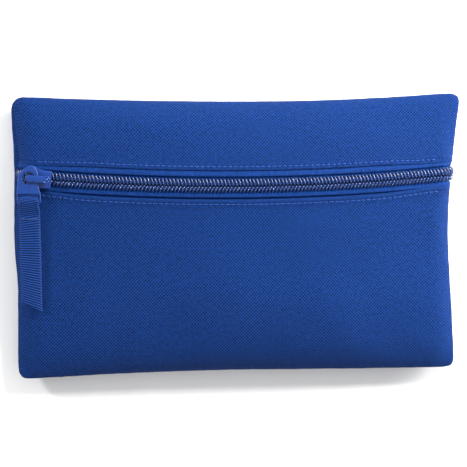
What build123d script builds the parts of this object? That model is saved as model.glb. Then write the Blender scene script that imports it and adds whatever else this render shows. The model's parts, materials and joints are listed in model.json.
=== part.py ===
"""Zip pouch for cash deposits, lying on its back: a stuffed fabric bag with a coil zip across its front.

Frame: +X runs along the zip, +Y towards the pouch's top edge, +Z out of its front face. Units are millimetres.
The zip's chain follows one circular arc, bowed out of the front and down towards the bottom edge.
Its parts are drawn at the middle of that arc and turned about the arc's axis to where they lie.
"""

import os
from math import asin, atan2, cos, degrees, hypot, sin

from build123d import *

# Pouch
WIDTH = 221.0
HEIGHT = 138.0
SEAM_Z = 9.0  # height of the edge seam above the table
FRONT_Z = 25.5  # highest point of the front panel's cloth
CLOTH = 0.8
CORNER_R = 5.0
SIDE_PULL = 2.5  # how far the middle of each edge is drawn in between its corners
TOP_PULL = 3.0
BOTTOM_PULL = 2.0
FRONT_PROFILE = ((0, 0), (4, 0.3), (8, 1.5), (12, 5), (15.5, 11), (18.5, 22))  # above seam, inset
BACK_PROFILE = ((0, 0), (-4, 0.7), (-7, 2.8), (-8.7, 6.5), (-9, 9))
SEAM_ALLOWANCE = 7.5  # width of the turned-in edge, inside the pouch
SEAM_THREAD_INSET = 1.6
BINDING = 0.4
BINDING_INNER = 4.0  # how far the binding covers the turned-in edge
BINDING_OUTER = 1.0

# Zip
ZIP_Y = 25.3  # height of the chain on the pouch, at its middle
ZIP_HALF_TRAVEL = 97.0  # the slider's centre stops this far from the middle
ZIP_BULGE = 7.0  # how far the chain's middle stands out of its ends
ZIP_SAG = 3.8  # how far the chain's middle hangs below its ends
WINDOW_HALF = 104.0  # half the length of the gap between the folded edges
TAPE = 0.6
TAPE_EDGE = 13.5  # from the chain's middle to a tape's outer edge
TAPE_INNER = 1.6
LAYER_GAP = 0.1
COIL_INNER = 0.55
COIL_OUTER = 3.4
COIL_BASE = -0.8
COIL_TOP = 1.35
COIL_HALF_LENGTH = 102.0
COIL_CORNER_R = 0.7
FILLER_R = 0.5
FILLER_GAP = 0.05
THREAD = 0.35
THREAD_GAP = 0.02
THREADS_SHORT = 5.0  # how far the chain's threads stop before the ends of the coil
UPPER_FOLD = 7.0  # from the chain's middle to the upper panel's folded edge
LOWER_FOLD = 6.2
UPPER_TOPSTITCH = 9.9
LOWER_TOPSTITCH = 9.1

# Flap: the stretch of the upper front that lifts when the zip is open
FLAP_HALF_WIDTH = 80.0
FLAP_FOOT_Z = SEAM_Z + 2.5
BODY_GAP = 0.3

# Slider, in its own frame: x along the chain towards its open end, y up the pouch, z out of the tape
SLIDER_HALF = 5.75
SLIDER_REAR = 4.3
SLIDER_REAR_R = 0.8
SLIDER_NOSE = 5.5
SHOULDER_X = -2.35  # the widest place, behind the nose
WAIST_X = 1.2
WAIST = 4.6
NOSE_X = -4.85
NOSE_BEND = (-4.95, 3.2)
CHANNEL_GAP = 0.2
WEDGE_X = -3.15
WEDGE = (3.2, 0.8)
BLADE_UNDER = 1.9
BLADE_TOP = 2.9
BACK_BLADE_TOP = -1.65
BACK_BLADE_UNDER = -2.7
FLANGE_FOOT = -0.7
POST_X = -4.8  # the front post, which the pull turns on
REAR_POST_X = 4.2
POST = (1.5, 2.2)
REAR_POST = (1.8, 2.2)
POST_R = 0.4
PIN_X = 2.35
PIN = 0.7
PIN_HOLE = 1.3
LEAF = 1.6
SPRING = 0.25
CAP_UNDER = 5.3
CAP_TOP = 6.1
CAP_FRONT_X = -6.1
CAP_REAR_X = 5.7
CAP_WIDTH = 3.3
CAP_CHAMFER = 0.35
DIMPLE_X = 3.8
DIMPLE_R = 0.8
PIP_R = 0.42
DIMPLE_SHIFT = 0.35  # the dimple's centre is this far above the crown, and the pip's this far below

# Pull
TAB_LIFT = 4.3  # middle of the tab above the front's face, at its eye
TAB_THICK = 1.2
TAB_TILT = 1.2
TAB_HALF_WIDTH = 6.2
TAB_END = 12.4
TAB_CORNER_R = 1.2
TAB_EDGE_R = 0.35
EYE_R = 3.0
EYE_OUTER_R = 5.6
EYE_SHOULDER = 0.1  # how far inside the eye's edge the tab's straight sides start
SLOT_NEAR = 7.8
SLOT_FAR = 10.0
SLOT_GAP = 0.15
SLOT_CORNER_R = 0.5
WEBBING_HALF_WIDTH = 5.25
WEBBING_PLY = 0.8
LOOP_R = 1.42  # inside of the webbing's loop round the tab's bar
LOOP_TAPER = 6.66  # how far below the bar the loop closes to two plies
WEBBING_DROP = 1.7  # how far the two plies lie below the tab's middle
BARTACK_END = 20.0
BARTACK = 1.4
BARTACK_HALF_WIDTH = 3.7
WEBBING_END = 64.0
PULL_YAW = 5.5  # the pull hangs straight down the pouch, while the chain slopes under it

RISE = hypot(ZIP_BULGE, ZIP_SAG)
ARC_R = (ZIP_HALF_TRAVEL**2 + RISE**2) / (2 * RISE)
ARC_TILT = atan2(ZIP_SAG, ZIP_BULGE)
HALF_ANGLE = degrees(asin(ZIP_HALF_TRAVEL / ARC_R))
CHAIN_MIDDLE = Vector(0, ZIP_Y, FRONT_Z)
ARC_CENTRE = CHAIN_MIDDLE + Vector(0, sin(ARC_TILT), -cos(ARC_TILT)) * ARC_R
ARC_AXIS = Axis(ARC_CENTRE, (0, cos(ARC_TILT), sin(ARC_TILT)))
ZIP_FACE = Plane(origin=CHAIN_MIDDLE, x_dir=(1, 0, 0), z_dir=(0, 0, 1))
ZIP_SECTION = Plane(origin=CHAIN_MIDDLE, x_dir=(0, 1, 0), z_dir=(1, 0, 0))

os.makedirs("parts", exist_ok=True)


def save(shape, name):
    """Labels a finished piece and writes its STEP file."""
    shape.label = name
    export_step(shape, f"parts/{name}.step")


# ---------------------------------------------------------------- pouch outlines


def plan_outline(inset):
    """The pouch seen from the front: a rectangle whose edges are drawn in between the corners."""
    x, y = WIDTH / 2 - inset, HEIGHT / 2 - inset
    with BuildSketch() as outline:
        with BuildLine():
            ThreePointArc((-x, -y), (0, -y + BOTTOM_PULL), (x, -y))
            ThreePointArc((x, -y), (x - SIDE_PULL, 0), (x, y))
            ThreePointArc((x, y), (0, y - TOP_PULL), (-x, y))
            ThreePointArc((-x, y), (-x + SIDE_PULL, 0), (-x, -y))
        make_face()
        fillet(outline.vertices(), CORNER_R)
    return outline.sketch


def dome(profile, depth):
    """A solid that swells from the seam's plane, through one outline for each step of a profile."""
    with BuildPart() as body:
        for height, inset in profile:
            with BuildSketch(Plane.XY.offset(SEAM_Z + height)):
                add(plan_outline(inset + depth))
        loft()
    return body.part


def arch_slab(depth):
    """Everything under the front's shallow arch, which is straight up the pouch."""
    x = WIDTH / 2
    arch_r = (ZIP_HALF_TRAVEL**2 + ZIP_BULGE**2) / (2 * ZIP_BULGE)
    side_z = FRONT_Z - arch_r + (arch_r**2 - x**2) ** 0.5
    with BuildPart() as slab:
        with BuildSketch(Plane.XZ):
            with BuildLine():
                Line((-x, -depth), (x, -depth))
                Line((x, -depth), (x, side_z - depth))
                ThreePointArc((x, side_z - depth), (0, FRONT_Z - depth), (-x, side_z - depth))
                Line((-x, side_z - depth), (-x, -depth))
            make_face()
        extrude(amount=HEIGHT, both=True)
    return slab.part


def front_solid(depth):
    """The whole inside of the front at one depth under its outer face."""
    with BuildPart() as body:
        add(dome(FRONT_PROFILE, depth))
        add(arch_slab(depth), mode=Mode.INTERSECT)
    return body.part


def seam_ring(near, far, low, high):
    """A flat ring that follows the pouch's edge, between two depths inside it."""
    with BuildPart() as ring:
        with BuildSketch(Plane.XY.offset(low)):
            add(plan_outline(near))
            add(plan_outline(far), mode=Mode.SUBTRACT)
        extrude(amount=high - low)
    return ring.part


def chain_plane(across):
    """The slanting plane that runs along the front, a distance up the pouch from the chain."""
    middle = CHAIN_MIDDLE + ARC_AXIS.direction * (across * cos(ARC_TILT))
    return Plane(origin=middle, x_dir=(1, 0, 0), z_dir=ARC_AXIS.direction)


def band(shape, low, high, half_length):
    """What a shape has between two distances up the pouch from the chain."""
    size = (high - low) * cos(ARC_TILT)
    with BuildPart() as cut:
        add(shape)
        with Locations(chain_plane(low)):
            Box(
                2 * half_length, 4 * FRONT_Z, size,
                align=(Align.CENTER, Align.CENTER, Align.MIN), mode=Mode.INTERSECT,
            )
    return cut.part


def without(shape, cutter):
    """A shape less another shape."""
    with BuildPart() as rest:
        add(shape)
        add(cutter, mode=Mode.SUBTRACT)
    return rest.part


def on_flap(shape, gap):
    """What a shape has inside the flap's outline, grown by a gap."""
    with BuildPart() as cut:
        add(shape)
        with Locations((0, 0, FLAP_FOOT_Z - gap)):
            Box(
                2 * (FLAP_HALF_WIDTH + gap), 2 * HEIGHT, 2 * FRONT_Z,
                align=(Align.CENTER, Align.CENTER, Align.MIN), mode=Mode.INTERSECT,
            )
    return cut.part


def save_both(shape, flap_name, end_name):
    """Saves one layer of the upper front as the stretch on the flap and the rest around it."""
    save(on_flap(shape, 0), flap_name)
    save(without(shape, on_flap(shape, BODY_GAP)), end_name)


# ---------------------------------------------------------------- cloth


def back_panel():
    with BuildPart() as back:
        add(dome(BACK_PROFILE, 0))
        add(dome([(h * (SEAM_Z - CLOTH) / SEAM_Z, i) for h, i in BACK_PROFILE], CLOTH), mode=Mode.SUBTRACT)
        add(seam_ring(CLOTH / 2, SEAM_ALLOWANCE, SEAM_Z - CLOTH, SEAM_Z))
    save(back.part, "back_panel")


def front_panels():
    with BuildPart() as front:
        add(front_solid(0))
        add(front_solid(CLOTH), mode=Mode.SUBTRACT)
        add(seam_ring(CLOTH / 2, SEAM_ALLOWANCE, SEAM_Z, SEAM_Z + CLOTH))
    lower = band(front.part, -HEIGHT, -BODY_GAP / 2, WIDTH)
    upper = band(front.part, BODY_GAP / 2, HEIGHT, WIDTH)
    save(without(lower, band(lower, -LOWER_FOLD, 1, WINDOW_HALF)), "front_lower_panel")
    upper = without(upper, band(upper, -1, UPPER_FOLD, WINDOW_HALF))
    save_both(upper, "front_upper_panel", "front_upper_panel_ends")


def zip_tapes():
    face = CLOTH + LAYER_GAP
    tape = without(arch_slab(face), arch_slab(face + TAPE))
    with BuildPart() as both:
        add(tape)
        add(dome(FRONT_PROFILE, face), mode=Mode.INTERSECT)
    save(band(both.part, -TAPE_EDGE, -TAPE_INNER, WIDTH), "lower_zip_tape")
    save_both(band(both.part, TAPE_INNER, TAPE_EDGE, WIDTH), "upper_zip_tape", "upper_zip_tape_ends")


EDGES = {
    "left": (HEIGHT, WIDTH, SIDE_PULL, -1),
    "right": (HEIGHT, WIDTH, SIDE_PULL, 1),
    "bottom": (WIDTH, HEIGHT, BOTTOM_PULL, -1),
    "top": (WIDTH, HEIGHT, TOP_PULL, 1),
}


def edge_strip(edge, near, far, low, high, half_length):
    """A strip along one edge, between two depths inside it and two heights."""
    length, width, pull, sign = EDGES[edge]
    vertical = edge in ("left", "right")

    def at(along, depth):
        """A point on the edge's curve, a depth inside it."""
        drawn_in = pull * (1 - (2 * along / length) ** 2)
        out = sign * (width / 2 - drawn_in - depth)
        return (out, along) if vertical else (along, out)

    with BuildPart() as strip:
        with BuildSketch(Plane.XY.offset(low)):
            with BuildLine():
                ThreePointArc(at(-half_length, near), at(0, near), at(half_length, near))
                Line(at(half_length, near), at(half_length, far))
                ThreePointArc(at(half_length, far), at(0, far), at(-half_length, far))
                Line(at(-half_length, far), at(-half_length, near))
            make_face()
        extrude(amount=high - low)
    return strip.part


def seam_bindings():
    """Folded tape over the raw edges of the seam, inside the pouch, in four lengths."""
    near, far = SEAM_ALLOWANCE - BINDING_INNER, SEAM_ALLOWANCE + BINDING_OUTER
    leaf = CLOTH + LAYER_GAP
    outside = leaf + BINDING
    for edge in EDGES:
        half = EDGES[edge][0] / 2 - far - 2 * CORNER_R
        full = edge_strip(edge, near, far, SEAM_Z - outside, SEAM_Z + outside, half)
        slot = edge_strip(edge, near - 1, SEAM_ALLOWANCE + LAYER_GAP, SEAM_Z - leaf, SEAM_Z + leaf, half + 1)
        save(without(full, slot), f"seam_binding_{edge}")


def seam_threads():
    """The seam's needle and bobbin threads, which lie on the two turned-in edges."""
    near, far = SEAM_THREAD_INSET, SEAM_THREAD_INSET + THREAD
    clear = CLOTH + THREAD_GAP
    for edge in EDGES:
        half = EDGES[edge][0] / 2 - 3 * CORNER_R
        with BuildPart() as threads:
            add(edge_strip(edge, near, far, SEAM_Z + clear, SEAM_Z + clear + THREAD, half))
            add(edge_strip(edge, near, far, SEAM_Z - clear - THREAD, SEAM_Z - clear, half))
        save(threads.part, f"seam_thread_{edge}")


# ---------------------------------------------------------------- zip chain


def swept_along_chain(section, start, end):
    """A section of the chain, turned about the arc's axis from one distance along it to another."""
    first, last = (degrees(asin(x / ARC_R)) for x in (start, end))
    with BuildPart() as swept:
        with BuildSketch(ZIP_SECTION):
            add(section)
        revolve(axis=ARC_AXIS, revolution_arc=last - first)
    return swept.part.rotate(ARC_AXIS, first)


def coil_section(side):
    """One row of coil as a tube with a filler cord's hole, on the upper (1) or lower (-1) side."""
    with BuildSketch() as section:
        middle = (side * (COIL_INNER + COIL_OUTER) / 2, (COIL_BASE + COIL_TOP) / 2)
        with Locations(middle):
            RectangleRounded(COIL_OUTER - COIL_INNER, COIL_TOP - COIL_BASE, COIL_CORNER_R)
            Circle(FILLER_R + FILLER_GAP, mode=Mode.SUBTRACT)
    return section.sketch


def filler_section(side):
    with BuildSketch() as section:
        with Locations((side * (COIL_INNER + COIL_OUTER) / 2, (COIL_BASE + COIL_TOP) / 2)):
            Circle(FILLER_R)
    return section.sketch


def thread_section(across, base):
    """A thread lying on a face: flat below and rounded above."""
    with BuildSketch() as section:
        with Locations((across, base + THREAD / 2)):
            RectangleRounded(2 * THREAD, THREAD, THREAD / 3)
    return section.sketch


def chain():
    """Both rows of coil, their filler cords, the thread that sews them down and the topstitching."""
    stitch = (COIL_INNER + COIL_OUTER) / 2
    face = LAYER_GAP + THREAD_GAP
    coil_face = COIL_TOP + THREAD_GAP
    threads_end = COIL_HALF_LENGTH - THREADS_SHORT
    on_flap_end = FLAP_HALF_WIDTH - BODY_GAP
    beside_flap = FLAP_HALF_WIDTH + 2 * BODY_GAP
    lower = {
        "lower_coil": (coil_section(-1), COIL_HALF_LENGTH),
        "lower_filler_cord": (filler_section(-1), COIL_HALF_LENGTH),
        "lower_coil_stitching": (thread_section(-stitch, coil_face), threads_end),
        "lower_topstitching": (thread_section(-LOWER_TOPSTITCH, face), threads_end),
    }
    for name, (section, half_length) in lower.items():
        save(swept_along_chain(section, -half_length, half_length), name)
    upper = {
        "upper_coil": coil_section(1),
        "upper_filler_cord": filler_section(1),
        "upper_coil_stitching": thread_section(stitch, coil_face),
        "upper_topstitching": thread_section(UPPER_TOPSTITCH, face),
    }
    for name, section in upper.items():
        save(swept_along_chain(section, -on_flap_end, on_flap_end), name)
    with BuildPart() as ends:
        add(swept_along_chain(coil_section(1), -COIL_HALF_LENGTH, -beside_flap))
        add(swept_along_chain(coil_section(1), beside_flap, COIL_HALF_LENGTH))
    save(ends.part, "upper_coil_ends")


# ---------------------------------------------------------------- slider


def blade_outline():
    """A blade seen from the front: square at the rear, waisted, and wide at the nose."""
    rear = SLIDER_HALF
    bend_x, bend = NOSE_BEND
    with BuildSketch() as outline:
        with BuildLine():
            Line((rear, -SLIDER_REAR), (rear, SLIDER_REAR))
            ThreePointArc((rear, SLIDER_REAR), (WAIST_X, WAIST), (SHOULDER_X, SLIDER_NOSE))
            ThreePointArc((SHOULDER_X, SLIDER_NOSE), (bend_x, bend), (NOSE_X, 0))
            ThreePointArc((NOSE_X, 0), (bend_x, -bend), (SHOULDER_X, -SLIDER_NOSE))
            ThreePointArc((SHOULDER_X, -SLIDER_NOSE), (WAIST_X, -WAIST), (rear, -SLIDER_REAR))
        make_face()
        fillet(outline.vertices().group_by(Axis.X)[-1], SLIDER_REAR_R)
    return outline.sketch


def slider_blade(under, top):
    with BuildPart() as blade:
        with BuildSketch(ZIP_FACE.offset(under)):
            add(blade_outline())
        extrude(amount=top - under)
    return blade.part


def slider_body():
    """Two blades joined by the wedge between the rows of coil, with two posts for the crown."""
    channel = COIL_OUTER + CHANNEL_GAP
    with BuildPart() as body:
        add(slider_blade(BLADE_UNDER, BLADE_TOP))
        add(slider_blade(BACK_BLADE_UNDER, BACK_BLADE_TOP))
        with BuildSketch(ZIP_FACE.offset(FLANGE_FOOT)):
            add(blade_outline())
            Rectangle(4 * SLIDER_HALF, 2 * channel, mode=Mode.SUBTRACT)
        extrude(amount=BLADE_UNDER - FLANGE_FOOT)
        with BuildSketch(ZIP_FACE.offset(BACK_BLADE_TOP)):
            with Locations((WEDGE_X, 0)):
                Rectangle(*WEDGE)
        extrude(amount=BLADE_UNDER - BACK_BLADE_TOP)
        with BuildSketch(ZIP_FACE.offset(BLADE_TOP)):
            with Locations((POST_X, 0)):
                RectangleRounded(*POST, POST_R)
            with Locations((REAR_POST_X, 0)):
                RectangleRounded(*REAR_POST, POST_R)
        extrude(amount=CAP_UNDER - BLADE_TOP)
        with BuildSketch(ZIP_FACE.offset(BLADE_UNDER)):
            with Locations((PIN_X, 0)):
                Rectangle(PIN_HOLE, PIN_HOLE)
        extrude(amount=BLADE_TOP - BLADE_UNDER, mode=Mode.SUBTRACT)
    return body.part


def slider_cap():
    """The pressed crown over the two posts, with a dimple where it's crimped at the rear."""
    with BuildPart() as cap:
        with BuildSketch(ZIP_FACE.offset(CAP_UNDER)):
            with Locations(((CAP_FRONT_X + CAP_REAR_X) / 2, 0)):
                SlotOverall(CAP_REAR_X - CAP_FRONT_X, CAP_WIDTH)
        extrude(amount=CAP_TOP - CAP_UNDER)
        chamfer(cap.faces().sort_by(Axis.Z)[-1].edges(), CAP_CHAMFER)
        with Locations(ZIP_FACE.offset(CAP_TOP + DIMPLE_SHIFT)):
            with Locations((DIMPLE_X, 0)):
                Sphere(DIMPLE_R, mode=Mode.SUBTRACT)
        with Locations(ZIP_FACE.offset(CAP_TOP - DIMPLE_SHIFT)):
            with Locations((DIMPLE_X, 0)):
                Sphere(PIP_R)
    return cap.part


def lock_spring():
    """A leaf under the crown, with a pin that drops through the blade on to the chain."""
    pin_foot = COIL_TOP + THREAD + LAYER_GAP
    with BuildPart() as spring:
        with BuildSketch(ZIP_FACE.offset(CAP_UNDER - SPRING)):
            with Locations((PIN_X, 0)):
                Rectangle(LEAF, LEAF)
        extrude(amount=SPRING)
        with BuildSketch(ZIP_FACE.offset(pin_foot)):
            with Locations((PIN_X, 0)):
                Rectangle(PIN, PIN)
        extrude(amount=CAP_UNDER - SPRING - pin_foot)
    return spring.part


# ---------------------------------------------------------------- pull


def pull_plane():
    """The tab's middle plane: at the eye, tilted so that the tab's lower end drops to the pouch."""
    eye = CHAIN_MIDDLE + Vector(POST_X, 0, TAB_LIFT)
    return Plane(eye, x_dir=(1, 0, 0), z_dir=(0, 0, 1)).rotated((TAB_TILT, 0, PULL_YAW))


def tab_outline():
    shoulder = EYE_OUTER_R - EYE_SHOULDER
    slot_length = 2 * (WEBBING_HALF_WIDTH + SLOT_GAP)
    with BuildSketch() as outline:
        Circle(EYE_OUTER_R)
        with BuildLine():
            Polyline(
                (-shoulder, 0), (shoulder, 0), (TAB_HALF_WIDTH, -SLOT_NEAR), (TAB_HALF_WIDTH, -TAB_END),
                (-TAB_HALF_WIDTH, -TAB_END), (-TAB_HALF_WIDTH, -SLOT_NEAR), (-shoulder, 0),
            )
        make_face()
        fillet(outline.vertices().group_by(Axis.Y)[0], TAB_CORNER_R)
        Circle(EYE_R, mode=Mode.SUBTRACT)
        with Locations((0, -(SLOT_NEAR + SLOT_FAR) / 2)):
            RectangleRounded(slot_length, SLOT_FAR - SLOT_NEAR, SLOT_CORNER_R, mode=Mode.SUBTRACT)
    return outline.sketch


def pull_tab():
    with BuildPart() as tab:
        with BuildSketch(pull_plane().offset(-TAB_THICK / 2)):
            add(tab_outline())
        extrude(amount=TAB_THICK)
        faces = tab.faces().filter_by(GeomType.PLANE).sort_by(SortBy.AREA)[-2:]
        fillet([edge for face in faces for edge in face.edges()], TAB_EDGE_R)
    return tab.part


def webbing_side():
    """The webbing seen from its edge: a loop round the tab's bar, then two plies down the pouch."""
    bar = -(SLOT_FAR + TAB_END) / 2
    outer = LOOP_R + WEBBING_PLY
    plies = bar - LOOP_TAPER
    top, under = WEBBING_PLY - WEBBING_DROP, -WEBBING_PLY - WEBBING_DROP
    with BuildSketch() as outline:
        with Locations((bar, 0)):
            Circle(outer)
        with BuildLine():
            Polyline(
                (bar, outer), (bar, -outer), (plies, under), (-WEBBING_END, under),
                (-WEBBING_END, top), (plies, top), (bar, outer),
            )
        make_face()
        with Locations((bar, 0)):
            Circle(LOOP_R, mode=Mode.SUBTRACT)
    return outline.sketch


def webbing_plane(across):
    plane = pull_plane()
    return Plane(plane.origin + plane.x_dir * across, x_dir=plane.y_dir, z_dir=plane.x_dir)


def puller_webbing():
    with BuildPart() as webbing:
        with BuildSketch(webbing_plane(-WEBBING_HALF_WIDTH)):
            add(webbing_side())
        extrude(amount=2 * WEBBING_HALF_WIDTH)
    return webbing.part


def puller_bartack():
    """Thread through both plies, just below the loop, as a bar on each face."""
    reach = WEBBING_PLY + THREAD_GAP + THREAD / 2
    with BuildPart() as tack:
        with BuildSketch(webbing_plane(-BARTACK_HALF_WIDTH)):
            with Locations((-BARTACK_END, -WEBBING_DROP - reach), (-BARTACK_END, reach - WEBBING_DROP)):
                Rectangle(BARTACK, THREAD)
        extrude(amount=2 * BARTACK_HALF_WIDTH)
    return tack.part


# ---------------------------------------------------------------- build

back_panel()
front_panels()
zip_tapes()
seam_bindings()
seam_threads()
chain()

moving = {
    "slider_body": slider_body(),
    "slider_cap": slider_cap(),
    "slider_lock_spring": lock_spring(),
    "pull_tab": pull_tab(),
    "puller_webbing": puller_webbing(),
    "puller_bartack": puller_bartack(),
}
for piece_name, piece in moving.items():
    save(piece.rotate(ARC_AXIS, -HALF_ANGLE), piece_name)
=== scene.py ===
import json
import math

import bmesh
import bpy
import numpy as np
from mathutils import Matrix, Vector, noise


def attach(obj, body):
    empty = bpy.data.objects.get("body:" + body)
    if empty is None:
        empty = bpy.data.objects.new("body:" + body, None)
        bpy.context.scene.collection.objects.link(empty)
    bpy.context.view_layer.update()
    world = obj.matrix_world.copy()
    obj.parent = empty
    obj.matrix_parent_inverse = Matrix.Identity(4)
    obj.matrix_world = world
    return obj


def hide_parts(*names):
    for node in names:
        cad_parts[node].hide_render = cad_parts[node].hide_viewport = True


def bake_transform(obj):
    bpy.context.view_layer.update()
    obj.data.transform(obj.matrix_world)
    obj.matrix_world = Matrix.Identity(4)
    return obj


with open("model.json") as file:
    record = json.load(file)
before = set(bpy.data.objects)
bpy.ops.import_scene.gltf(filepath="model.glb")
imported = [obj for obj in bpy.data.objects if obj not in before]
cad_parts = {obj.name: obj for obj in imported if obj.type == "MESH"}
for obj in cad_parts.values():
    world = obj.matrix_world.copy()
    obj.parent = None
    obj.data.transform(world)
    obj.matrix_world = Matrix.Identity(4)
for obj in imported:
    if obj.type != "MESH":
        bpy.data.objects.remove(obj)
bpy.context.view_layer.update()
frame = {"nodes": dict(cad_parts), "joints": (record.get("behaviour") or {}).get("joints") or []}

# A stuffed cloth pouch with a coil zip. Lengths here are millimetres until a mesh is made from them.
MM = 0.001
JOINTS = {joint["name"]: joint for joint in frame["joints"]}

# The zip's arc, from its joint
ARC_CENTRE = np.array(JOINTS["zip"]["pos_m"]) / MM
ARC_AXIS = np.array(JOINTS["zip"]["axis"]) / np.linalg.norm(JOINTS["zip"]["axis"])
HALF_ANGLE = math.radians(JOINTS["zip"]["range_deg"][1]) / 2
ZIP_Y = 25.3
FRONT_Z = 25.5
ZIP_BULGE = 7.0
ZIP_SAG = 3.8
HALF_TRAVEL = 97.0

# Pouch
SEAM_Z = 9.0
CLOTH = 0.6
SIDE_ROLL = 12.0  # how far in from a side the front takes to reach its full height
ZIP_ROLL = 6.5  # the same beside the zip, so that the slider's whole run is level
TOP_ROLL = 37.0
BOTTOM_ROLL = 44.0
BACK_ROLL = 15.0
BACK_CLEAR = 0.05  # between the flat of the back and the floor
HALF_WIDTH = 110.0
SEAM_CREASE = 1.4
HEM_WIDTH = 6.5
HEM_ROLL = 0.8
HEM_PAD = 0.5
STITCH_DIP = 0.45
HEM_LIP = 2.2  # how far a fold's edge turns down

# Zip
FOLD = {1: 7.0, -1: 6.4}  # distance from the chain's middle, above it and below it
STITCH = {1: 9.5, -1: 9.1}
HEM_CLOSING = 1.2  # how much nearer the chain a fold comes at the ends
TAPE_DEPTH = 0.75
TAPE_EDGE = 12.5
TAPE_INNER = 0.5
TAPE_THICK = 0.5
TAPE_STEPS = {  # how far each tape steps up or down, and between which distances from the chain's middle
    1: ((1.05, 4.1, 4.8), (-0.3, 5.9, 6.8), (-1.4, 7.0, 8.4)),
    -1: ((0.5, 3.2, 4.4), (-1.3, 5.4, 6.5)),
}
PITCH = 1.8
FILAMENT = 0.36
COIL_LEAN = 0.55  # how far each turn slants along the chain
COIL_ROWS = {1: (1.62, 1.78, 0.28), -1: (-1.6, 1.1, 0.15)}  # middle, reach and lift of each row
COIL_STITCHES = {1: (0.52, 0.74), -1: (0.8,)}  # share of the way from a row's outer bends to its teeth
COIL_HALF_HEIGHT = 0.7
TURN_STEPS = 14
SEWN_EVERY = 2.75  # length of a stitch
STITCH_INSET = 10.0  # between the chain's ends and the topstitching
STITCH_MARGIN = 3.0  # kept free at the end of each run of stitches
TOPSTITCH_RADIUS = 0.27
COIL_THREAD_RADIUS = 0.15
SEAM_THREAD_RADIUS = 0.2
FILLER_RADIUS = 0.3

# Slider and puller
SLIDER_BACK = -0.5  # along its run, from where the zip's arc ends
POST_X = -4.8
REAR_POST_X = 4.2
BLADE_UNDER = 1.9
BLADE_TOP = 2.9
BACK_UNDER = -3.0
BACK_TOP = -2.05
CASTING_ROUND = 0.38
CHANNEL = 3.92  # half the width that the flanges leave for the coil
FLANGE_FROM = 3.95  # where a blade's outline is wide enough to carry a flange
CAP_UNDER = 5.3
CAP_TOP = 6.1
EYE_R = 3.0
TAB_HALF_WIDTH = 5.85
TAB_THICK = 1.2
TAB_END = 12.4
SLOT_NEAR = 7.8
SLOT_FAR = 10.0
BAR_Y = -(SLOT_FAR + TAB_END) / 2
LOOP_R = 1.95  # middle of the webbing's thickness, round the tab's bar
WEB_HALF_WIDTH = 5.05
WEB_PLY = 0.8
WEB_DROP = 1.7
WEB_LEFT_END = 60.5
WEB_RIGHT_END = 66.0
RIB = 1.1
BARTACK_TURNS = 36

# Seams inside the pouch
THREAD_INSET = 1.6
CORNER_GAP = 9.0
BINDING_START = 3.5
BINDING_FOLD = 7.9
BINDING_HALF = 0.65
BINDING_THICK = 0.35

# Meshes
SHEET_RIM_ANGLE = 55
CASTING_RIM_ANGLE = 50
FLAT = 0.999  # a plate's face whose normal rises more than this stays flat
CROWN_RIM_ANGLE = 60
TUBE_SIDES = 8
THREAD_SIDES = 6


# ---- helpers


def smooth(x, low, high):
    """0 below low, 1 above high, and a smooth step between them."""
    t = np.clip((np.asarray(x, float) - low) / (high - low), 0, 1)
    return t * t * (3 - 2 * t)


def bump(x, middle, width):
    """A bell of height 1."""
    return np.exp(-(((np.asarray(x, float) - middle) / width) ** 2))


def perlin(x, y, scale, seed):
    """Smooth noise from -1 to 1 over two arrays of the same shape."""
    flat = zip(np.ravel(x) / scale, np.ravel(y) / scale)
    values = [noise.noise(Vector((a, b, seed))) for a, b in flat]
    return np.array(values).reshape(np.shape(x))


def linked(name, data):
    """An object in the scene that shows some data."""
    obj = bpy.data.objects.new(name, data)
    bpy.context.scene.collection.objects.link(obj)
    return obj


def new_object(name, points, faces, cloth=None, smooth_shading=True):
    """A mesh object from points in millimetres. cloth is each point's place on the flat cloth."""
    mesh = bpy.data.meshes.new(name)
    mesh.from_pydata((np.asarray(points) * MM).tolist(), [], [list(f) for f in faces])
    mesh.validate()
    mesh.update()
    if cloth is not None:
        layer = mesh.attributes.new("cloth", "FLOAT_VECTOR", "POINT")
        flat = np.zeros((len(cloth), 3), np.float32)
        flat[:, : np.shape(cloth)[1]] = cloth
        layer.data.foreach_set("vector", flat.ravel())
    mesh.polygons.foreach_set("use_smooth", [smooth_shading] * len(mesh.polygons))
    return linked(name, mesh)


def grid_faces(rows, columns, close_rows=False, close_columns=False):
    faces = []
    for i in range(rows if close_rows else rows - 1):
        for j in range(columns if close_columns else columns - 1):
            a, b = i % rows, (i + 1) % rows
            c, d = j % columns, (j + 1) % columns
            faces.append((a * columns + c, b * columns + c, b * columns + d, a * columns + d))
    return faces


def unit(vectors):
    return vectors / np.linalg.norm(vectors, axis=-1, keepdims=True)


def lengths_along(points):
    """The distance along each row of points from the row's start."""
    steps = np.linalg.norm(np.diff(points, axis=-2), axis=-1)
    return np.concatenate([np.zeros(steps.shape[:-1] + (1,)), np.cumsum(steps, axis=-1)], axis=-1)


def grid_object(name, points, first_column=None):
    """A grid of points [row, column] as a sheet, with flat-cloth coordinates."""
    rows, columns, _ = points.shape
    across = lengths_along(points)
    if first_column is None:
        first_column = -across[:, columns // 2][:, None]
    up = lengths_along(points.transpose(1, 0, 2)).T
    cloth = np.stack([across + first_column, up], axis=-1).reshape(-1, 2)
    faces = [face[::-1] for face in grid_faces(rows, columns)]
    return new_object(name, points.reshape(-1, 3), faces, cloth)


def thicken(obj, thickness):
    """Gives a sheet its thickness, on the inner side, and keeps its rims crisp."""
    solid = obj.modifiers.new("thickness", "SOLIDIFY")
    solid.thickness = thickness * MM
    solid.offset = -1.0
    mesh = bpy.data.meshes.new_from_object(obj.evaluated_get(bpy.context.evaluated_depsgraph_get()))
    obj.modifiers.clear()
    obj.data = mesh
    mesh.set_sharp_from_angle(angle=math.radians(SHEET_RIM_ANGLE))
    return obj


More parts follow.
